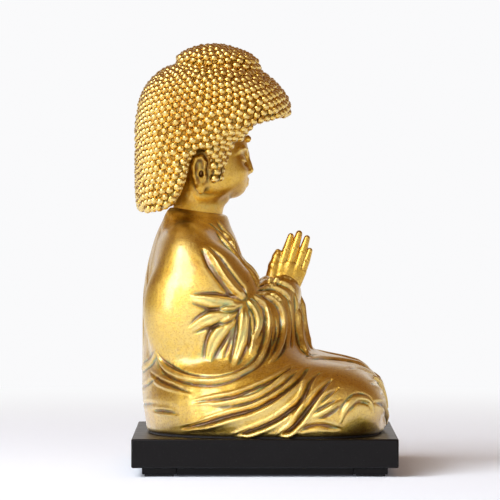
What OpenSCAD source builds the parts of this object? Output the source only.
// Seated praying Buddha figure with a large curled hair cap, on a low black base.
// The figure faces +X, its left is +Y and +Z is up. The origin is the centre of the base at floor level.
// The figure is gilt cast pieces pinned together. It stands on two dowels in the base and lifts off them.

/* [Base] */
// Depth of the base, front to back
base_depth = 73.6; // [73:0.2:76]
// Width of the base, side to side
base_width = 87; // [86.6:0.2:92]
// Thickness of the top slab
slab_height = 8; // [7:0.5:10]
// Height of the corner feet
foot_height = 1.9; // [1.8:0.1:3]
// Length of each side of a square foot
foot_size = 9.5; // [8:0.5:12]
// How far the feet stand back from the edge of the slab
foot_inset = 2.9; // [2.5:0.1:4]
// Thickness of the felt pad under each foot
pad_height = 0.6; // [0.5:0.1:1]

/* [Figure] */
// Half the width of the robe over the knees
knee_half = 42.2; // [41:0.2:42.4]
// Half the width of the robe at the elbows
elbow_half = 30.3; // [29:0.2:31]
// Half the width of the hair
hair_half = 22.5; // [22:0.1:23]
// Thickness of the felt under the figure
felt_height = 0.4; // [0.3:0.1:0.6]
// How far the hands lean forward from upright, in degrees
hand_lean = 15; // [14:1:16]

/* [Joinery] */
// Radius of the dowels that locate the figure on the base
dowel_radius = 1.5; // [1.3:0.1:1.8]
// Height of the dowels above the slab
dowel_rise = 6.4; // [5:0.2:7]
// Radius of the pins inside the figure
pin_radius = 1.25; // [1:0.05:1.5]
// Radial clearance of a dowel that slides
sliding_gap = 0.05; // [0.03:0.01:0.08]
// Radial clearance of a glued pin or tenon
glue_gap = 0.02; // [0.01:0.01:0.05]

/* [Hidden] */
$fn = 48;
GOLD = [0.83, 0.62, 0.22];
HAIR_GOLD = [0.80, 0.62, 0.26];
SKIN_GOLD = [0.72, 0.50, 0.18];
BLACK = [0.05, 0.05, 0.06];
FELT = [0.10, 0.10, 0.11];
BRASS = [0.78, 0.62, 0.30];

slab_bottom = pad_height + foot_height;
slab_top = slab_bottom + slab_height;
figure_bottom = slab_top + felt_height;
slab_bevel = 0.4;
rail_recess = 1.2;
rail_thickness = 2.5;
rail_lift = 0.4;
pad_margin = 0.7;
felt_margin = 0.8;
dowel_sunk = 5;
dowel_end_gap = 0.4;  // between the top of a dowel and the end of its socket
felt_gap = 3 * sliding_gap;  // round a dowel in the felt
front_dowel_x = 16;
rear_dowel_x = -19;

// The robe is one form, cut into blocks on flat joints.
lap_joint_x = -3.4;  // torso behind, lap and sleeves in front
lap_joint_z = 20.4;  // lap below, sleeves above, over the figure's underside
front_blocks_top = 44.9;  // over the figure's underside
far = 60;            // reaches past the figure in every direction
past = 1;            // how far a cut starts or ends outside the face it cuts

// Sections of the robe: height over the underside, back, front, half width, where it is widest,
// roundness behind and roundness in front
ROBE = [
    [0,    -33.4, 33.6, knee_half - 0.7,  5, 2.7, 3.1],
    [3,    -33.7, 34.1, knee_half,        5, 2.7, 3.1],
    [7,    -34.3, 34.0, knee_half,        5, 2.7, 3.1],
    [10,   -34.6, 33.4, knee_half - 0.7,  4, 2.7, 3.1],
    [13,   -34.7, 32.2, knee_half - 2.2,  3, 2.6, 3.2],
    [16,   -34.7, 30.0, knee_half - 4.4,  2, 2.6, 3.2],
    [18.5, -34.7, 26.5, knee_half - 7.2,  0, 2.5, 3.2],
    [20.5, -34.7, 19.0, elbow_half + 2.5, -2, 2.4, 2.8],
    [22.5, -34.7, 14.2, elbow_half + 1.3, -4, 2.3, 2.4],
    [25,   -34.7, 12.6, elbow_half + 0.5, -6, 2.3, 2.0],
    [29,   -34.7, 11.6, elbow_half,       -8, 2.2, 1.8],
    [33,   -34.6, 11.0, elbow_half - 0.7, -9, 2.2, 1.8],
    [37,   -34.4, 10.6, elbow_half - 1.7, -10, 2.2, 1.7],
    [40,   -34.2, 10.3, elbow_half - 2.7, -11, 2.2, 1.7],
    [41.7, -34.0,  9.0, elbow_half - 3.5, -12, 2.2, 1.7],
    [43,   -33.9,  5.0, elbow_half - 4.1, -13, 2.2, 1.8],
    [44,   -33.7,  0.0, elbow_half - 4.7, -14, 2.2, 1.9],
    [44.8, -33.5, -3.9, elbow_half - 5.1, -15, 2.2, 2.0],
    [47.5, -33.0, -4.9, elbow_half - 6.7, -17, 2.2, 2.0],
    [51,   -32.0, -6.3, elbow_half - 9.5, -19, 2.1, 2.0],
    [54,   -31.0, -7.9, elbow_half - 12.7, -19.5, 2.1, 2.0],
    [56.5, -29.8, -10.0, elbow_half - 16.3, -19.5, 2, 2],
    [58.6, -28.3, -11.3, elbow_half - 19.8, -19.5, 2, 2],
    [60.1, -27.2, -12.0, elbow_half - 22.1, -19.6, 2, 2],
];
robe_top = ROBE[len(ROBE) - 1][0];

// Sections of the hair cap, over the figure's underside
HAIR = [
    [60.8, -35.6, -12.0, hair_half - 2.6, -24, 2.6, 1.9],
    [64,   -36.4, -9.5,  hair_half - 1.6, -24, 2.6, 1.9],
    [69,   -36.8, -8.0,  hair_half - 0.8, -24, 2.5, 1.9],
    [75,   -36.8, -6.5,  hair_half - 0.2, -24, 2.4, 1.9],
    [81,   -36.8, -2.0,  hair_half,       -22, 2.3, 2.0],
    [85,   -36.8,  3.5,  hair_half,       -19, 2.3, 2.2],
    [88,   -36.6,  6.8,  hair_half - 0.2, -17, 2.2, 2.2],
    [90,   -36.2,  7.8,  hair_half - 0.5, -16, 2.2, 2.2],
    [93,   -35.7,  7.2,  hair_half - 1.3, -16, 2.2, 2.2],
    [96,   -34.5,  5.6,  hair_half - 2.5, -16, 2.2, 2.2],
    [99,   -32.6,  2.8,  hair_half - 4.8, -16, 2.1, 2.1],
    [101.5, -29.9, -0.5, hair_half - 7.8, -15.5, 2, 2],
    [103.5, -26.5, -4.0, hair_half - 11.2, -15.3, 2, 2],
];

// Sections of the dome on the crown, over the figure's underside
DOME = [
    [103.5, -26.2, -3.0, 10.6, -14.6, 2, 2],
    [105,  -25.6, -4.6, 10.2, -15, 2, 2],
    [107,  -23.4, -6.6,  8.4, -15, 2, 2],
    [108.6, -19.6, -9.6, 5.0, -14.8, 2, 2],
    [109.2, -17.0, -12.4, 2.2, -14.7, 2, 2],
];

// Lower edge of the hair in side view, from the nape round the ear to the brim, over the underside
HAIRLINE = [
    [-40, 61.6], [-35.2, 61.3], [-31.2, 61.2], [-28.6, 62.0], [-25.7, 63.6], [-23.9, 66.4],
    [-22.6, 69.2], [-21.7, 72.6], [-21.0, 75.8], [-19.8, 77.9], [-17.9, 78.6], [-16.3, 77.9],
    [-15.6, 75.8], [-15.5, 72.6], [-15.8, 70.4], [-15.0, 69.4], [-11.0, 69.2], [-9.9, 70.6],
    [-9.2, 73.4], [-8.3, 77.2], [-7.0, 80.5], [-5.3, 83.2], [-3.4, 84.7], [-1.0, 86.1],
    [2.4, 87.2], [6.2, 88.2], [12, 88.8], [12, 40], [-40, 40],
];

// Sections of the head, from the neck to the top of the brow, over the underside
HEAD = [
    [60.1, -26.8, -12.0,  7.4, -19.4, 2, 2],
    [62.5, -26.5, -11.6,  7.6, -19.0, 2, 2],
    [64,   -26.3,  -9.0,  8.4, -18.0, 2, 2.1],
    [66,   -26.3,  -6.6,  9.6, -16.5, 2, 2.2],
    [70,   -26.4,  -5.4, 10.6, -16.0, 2.1, 2.3],
    [75,   -26.6,  -5.0, 11.0, -16.0, 2.1, 2.3],
    [80,   -26.6,  -4.9, 10.9, -16.0, 2.1, 2.3],
    [85,   -26.2,  -5.6, 10.2, -16.0, 2, 2.2],
];
head_top = HEAD[len(HEAD) - 1][0];

// Sections of an ear with its long lobe, and of the nose
EAR = [
    [65.4, -18.5, -17.0, 0.5, -17.7, 2, 2],
    [66.2, -19.0, -16.6, 1.0, -17.7, 2, 2],
    [69,   -19.3, -16.5, 1.0, -17.8, 2, 2],
    [71.5, -19.9, -16.2, 1.2, -18.0, 2, 2],
    [75,   -20.3, -16.1, 1.4, -18.2, 2, 2],
    [76.8, -19.6, -16.6, 1.1, -18.1, 2, 2],
    [77.5, -18.9, -17.2, 0.6, -18.0, 2, 2],
];
ear_at = 10.9;
NOSE = [
    [72.1, -7.0, -4.6, 1.0, -6, 2, 2],
    [72.6, -7.0, -3.3, 1.6, -6, 2, 1.6],
    [73.6, -7.0, -2.9, 1.5, -6, 2, 1.6],
    [75.0, -7.0, -3.5, 1.0, -6, 2, 1.6],
    [77.0, -7.0, -4.3, 0.8, -6, 2, 1.8],
    [79.0, -7.0, -4.8, 0.8, -6, 2, 2],
];
skull_x = -16.4;
skull_bore = 12;
crown_peg = 6;
crown_peg_height = 4;
crown_peg_end_gap = 0.2;
crown_peg_top = figure_bottom + head_top + crown_peg_height;
neck_x = -19.4;
neck_tenon = 5;
neck_tenon_depth = 5.5;
neck_bottom = figure_bottom + robe_top - neck_tenon_depth;
neck_pin_bottom = figure_bottom + 47;
neck_pin_top = figure_bottom + robe_top + 7;
bead_radius = 1.2;
bead_at = [-4.9, 0, 82.2];

core_radius = 11;
core_height = 41;
cover_radius = 13;
cover_thickness = 2.5;
sleeve_pin_at = [14, 31];  // to each side, and over the underside
lap_pin_at = [22, 9];
pin_behind = 6;            // each pin's reach behind the joint, and in front of it

// The hands: where the wrists leave the sleeves, and sizes across and along the leaning hand
wrist_at = [5.2, 42.6];
wrist_radius = 2.8;
wrist_side = 2.9;
wrist_tenon = 5.5;
palm_thickness = 3.6;
palm_gap = 0.05;
finger_radius = 1.15;
FINGERS = [  // [across, along] at the root, then at the tip
    [[-1.4, 4.4], [-0.9, 12.1]],
    [[1.0, 4.6], [1.3, 13.4]],
    [[3.3, 4.6], [3.6, 12.7]],
    [[5.0, 3.0], [5.5, 9.2]],
    [[-3.9, 2.0], [-3.9, 6.6]],
];
PALM = [
    [-2.8, 1.0], [-4.8, 1.9], [-4.7, 3.8], [-2.6, 5.4], [1.0, 6.2], [4.4, 5.8], [6.1, 4.2], [5.6, 1.6],
    [4.4, 1.0],
];
palm_overlap = 2;  // how far up into the palm the wrist reaches
wrist_bore_reach = 20;

// How finely the forms are drawn
form_sides = 48;
rings_each = 2;      // rings of a form for each row of its table
dome_sides = 36;
small_sides = 16;
felt_sides = 72;

// Value of one column of a table at row position u, on a smooth curve through the rows
function smooth(table, column, u) =
    let (last = len(table) - 1, i = min(floor(u), last - 1), t = u - i,
         a = table[max(i - 1, 0)][column], b = table[i][column],
         c = table[i + 1][column], d = table[min(i + 2, last)][column])
    b + t / 2 * ((c - a) + t * ((2 * a - 5 * b + 4 * c - d) + t * (3 * (b - c) + d - a)));

// Distance along a rounded outline's axis for a cosine or sine, for a given roundness
function bulge(value, roundness) = sign(value) * pow(abs(value), 2 / roundness);

// One point of a section at an angle
function section_point(table, u, angle) =
    let (waist = smooth(table, 4, u), ahead = cos(angle) >= 0,
         reach = ahead ? smooth(table, 2, u) - waist : waist - smooth(table, 1, u),
         roundness = ahead ? smooth(table, 6, u) : smooth(table, 5, u))
    [waist + reach * bulge(cos(angle), roundness),
     smooth(table, 3, u) * bulge(sin(angle), roundness),
     figure_bottom + smooth(table, 0, u)];

// Closed solid through a table's sections
module loft(table, sides = form_sides) {
    rings = (len(table) - 1) * rings_each;
    points = [for (j = [0:rings], i = [0:sides - 1])
        section_point(table, j / rings_each, 360 * (i + 0.5) / sides)];
    walls = [for (j = [0:rings - 1], i = [0:sides - 1])
        let (a = j * sides + i, b = j * sides + (i + 1) % sides, c = b + sides, d = a + sides)
        each [[a, d, c], [a, c, b]]];
    caps = [[for (i = [0:sides - 1]) i], [for (i = [sides - 1:-1:0]) rings * sides + i]];
    polyhedron(points, concat(walls, caps));
}

// Upright rod on the centre plane
module post(x, bottom, top, radius) {
    translate([x, 0, bottom]) cylinder(r = radius, h = top - bottom);
}

// Rod across the joint between the torso and a block in front of it
module joint_pin(at, side, radius) {
    translate([lap_joint_x - pin_behind, side * at[0], figure_bottom + at[1]])
        rotate([0, 90, 0]) cylinder(r = radius, h = 2 * pin_behind);
}

module all_joint_pins(radius) {
    for (side = [-1, 1]) {
        joint_pin(sleeve_pin_at, side, radius);
        joint_pin(lap_pin_at, side, radius);
    }
}

// Places a child in the leaning hand's own frame: +X across the hand, +Z along it
module in_hand_frame() {
    translate([wrist_at[0], 0, figure_bottom + wrist_at[1]]) rotate([0, hand_lean, 0]) children();
}

module wrist_rod(side, radius, top) {
    in_hand_frame() translate([0, side * wrist_side, -wrist_tenon])
        cylinder(r = radius, h = wrist_tenon + top);
}

// Base

module base_slab() {
    color(BLACK) difference() {
        translate([-base_depth / 2, 0, slab_bottom]) rotate([90, 0, 90])
            linear_extrude(base_depth) slab_profile();
        for (x = [front_dowel_x, rear_dowel_x])
            post(x, slab_top - dowel_sunk, slab_top + past, dowel_radius + glue_gap);
    }
}

module slab_profile() {
    half = base_width / 2;
    polygon([
        [-half, slab_bevel], [-half + slab_bevel, 0], [half - slab_bevel, 0], [half, slab_bevel],
        [half, slab_height - slab_bevel], [half - slab_bevel, slab_height],
        [-half + slab_bevel, slab_height], [-half, slab_height - slab_bevel],
    ]);
}

// Places a child on the middle of a foot; front and left are 1 or -1
module at_foot(front, left, height) {
    to_middle = foot_inset + foot_size / 2;
    translate([front * (base_depth / 2 - to_middle), left * (base_width / 2 - to_middle), height])
        children();
}

module foot(front, left) {
    color(BLACK) at_foot(front, left, pad_height) linear_extrude(foot_height)
        square(foot_size, center = true);
}

module pad(front, left) {
    size = foot_size - 2 * pad_margin;
    color(FELT) at_foot(front, left, 0) linear_extrude(pad_height)
        square(size, center = true);
}

// Rail between two feet along a side that runs front to back
module side_rail(left) {
    length = base_depth - 2 * (foot_inset + foot_size);
    outer = base_width / 2 - foot_inset - rail_recess;
    color(BLACK) translate([-length / 2, left > 0 ? outer - rail_thickness : -outer, rail_lift])
        cube([length, rail_thickness, slab_bottom - rail_lift]);
}

// Rail between two feet across the front or the rear
module end_rail(front) {
    length = base_width - 2 * (foot_inset + foot_size);
    outer = base_depth / 2 - foot_inset - rail_recess;
    color(BLACK) translate([front > 0 ? outer - rail_thickness : -outer, -length / 2, rail_lift])
        cube([rail_thickness, length, slab_bottom - rail_lift]);
}

module dowel(x) {
    color(BRASS) post(x, slab_top - dowel_sunk, slab_top + dowel_rise, dowel_radius);
}

module sleeve_pin(side) {
    color(BRASS) joint_pin(sleeve_pin_at, side, pin_radius);
}

module lap_pin(side) {
    color(BRASS) joint_pin(lap_pin_at, side, pin_radius);
}

// Robe blocks

module dowel_sockets() {
    for (x = [front_dowel_x, rear_dowel_x])
        post(x, figure_bottom - past, slab_top + dowel_rise + dowel_end_gap, dowel_radius + sliding_gap);
}

module front_block() {
    translate([lap_joint_x, -far, 0]) cube([2 * far, 2 * far, figure_bottom + front_blocks_top]);
}

module torso() {
    color(GOLD) difference() {
        loft(ROBE);
        front_block();
        all_joint_pins(pin_radius + glue_gap);
        post(rear_dowel_x, figure_bottom - past, figure_bottom + core_height, core_radius);
        post(rear_dowel_x, figure_bottom - past, figure_bottom + cover_thickness, cover_radius + glue_gap);
        post(neck_x, neck_bottom, figure_bottom + 2 * far, neck_tenon + glue_gap);
        post(neck_x, neck_pin_bottom, figure_bottom + 2 * far, pin_radius + glue_gap);
    }
}

module lap() {
    color(GOLD) difference() {
        intersection() {
            loft(ROBE);
            translate([lap_joint_x, -far, 0]) cube([2 * far, 2 * far, figure_bottom + lap_joint_z]);
        }
        all_joint_pins(pin_radius + glue_gap);
        dowel_sockets();
    }
}

module sleeve(side) {
    color(GOLD) difference() {
        intersection() {
            loft(ROBE);
            translate([lap_joint_x, side > 0 ? 0 : -far, figure_bottom + lap_joint_z])
                cube([2 * far, far, front_blocks_top - lap_joint_z]);
        }
        all_joint_pins(pin_radius + glue_gap);
        wrist_rod(side, wrist_radius + glue_gap, wrist_bore_reach);
    }
}

module bottom_cover() {
    color(BRASS) difference() {
        post(rear_dowel_x, figure_bottom, figure_bottom + cover_thickness, cover_radius);
        post(rear_dowel_x, figure_bottom - past, figure_bottom + far, dowel_radius + sliding_gap);
    }
}

module figure_felt() {
    outline = [for (i = [0:felt_sides - 1])
        let (p = section_point(ROBE, 0, 360 * i / felt_sides), r = norm([p[0], p[1]]))
        [p[0], p[1]] * (r - felt_margin) / r];
    color(FELT) difference() {
        translate([0, 0, slab_top]) linear_extrude(felt_height) polygon(outline);
        for (x = [front_dowel_x, rear_dowel_x])
            post(x, slab_top - past, figure_bottom + past, dowel_radius + felt_gap);
    }
}

// Head

module head() {
    color(SKIN_GOLD) difference() {
        union() {
            loft(HEAD);
            loft(NOSE, small_sides);
            for (side = [-1, 1]) translate([0, side * ear_at, 0]) loft(EAR, small_sides);
            post(neck_x, neck_bottom, figure_bottom + robe_top + past, neck_tenon);
            post(skull_x, figure_bottom + head_top - past, crown_peg_top, crown_peg);
        }
        post(neck_x, 0, neck_pin_top, pin_radius + glue_gap);
        forehead_bead_shape(bead_radius + glue_gap);
    }
}

module neck_pin() {
    color(BRASS) post(neck_x, neck_pin_bottom, neck_pin_top, pin_radius);
}

module forehead_bead_shape(radius) {
    translate([bead_at[0], bead_at[1], figure_bottom + bead_at[2]]) sphere(r = radius);
}

module forehead_bead() {
    color(GOLD) forehead_bead_shape(bead_radius);
}

module hair() {
    color(HAIR_GOLD) difference() {
        loft(HAIR);
        translate([0, far, figure_bottom]) rotate([90, 0, 0]) linear_extrude(2 * far) polygon(HAIRLINE);
        post(skull_x, 0, figure_bottom + head_top, skull_bore);
        post(skull_x, 0, crown_peg_top + crown_peg_end_gap, crown_peg + glue_gap);
    }
}

module crown_dome() {
    color(HAIR_GOLD) loft(DOME, dome_sides);
}

// Hands

// Rounded bar between two points of the leaning hand's frame
module finger(points, side) {
    root = [points[0][0], side * (finger_radius + palm_gap), points[0][1]];
    along = [points[1][0] - points[0][0], 0, points[1][1] - points[0][1]];
    length = norm(along);
    translate(root) rotate([0, atan2(along[0], along[2]), 0]) {
        cylinder(r = finger_radius, h = length);
        translate([0, 0, length]) sphere(r = finger_radius);
    }
}

module hand(side) {
    color(SKIN_GOLD) union() {
        wrist_rod(side, wrist_radius, palm_overlap);
        in_hand_frame() {
            translate([0, side > 0 ? palm_thickness + palm_gap : -palm_gap, 0])
                rotate([90, 0, 0]) linear_extrude(palm_thickness) polygon(PALM);
            for (points = FINGERS) finger(points, side);
        }
    }
}

base_slab();
end_rail(1);  // rail_front
end_rail(-1);  // rail_rear
side_rail(1);  // rail_left
side_rail(-1);  // rail_right
foot(1, 1);  // foot_front_left
foot(1, -1);  // foot_front_right
foot(-1, 1);  // foot_rear_left
foot(-1, -1);  // foot_rear_right
pad(1, 1);  // pad_front_left
pad(1, -1);  // pad_front_right
pad(-1, 1);  // pad_rear_left
pad(-1, -1);  // pad_rear_right
dowel(front_dowel_x);  // dowel_front
dowel(rear_dowel_x);  // dowel_rear
figure_felt();
bottom_cover();
torso();
lap();
sleeve(-1);  // sleeve_right
sleeve(1);  // sleeve_left
sleeve_pin(-1);  // sleeve_pin_right
sleeve_pin(1);  // sleeve_pin_left
lap_pin(-1);  // lap_pin_right
lap_pin(1);  // lap_pin_left
head();
neck_pin();
forehead_bead();
hair();
crown_dome();
hand(-1);  // hand_right
hand(1);  // hand_left
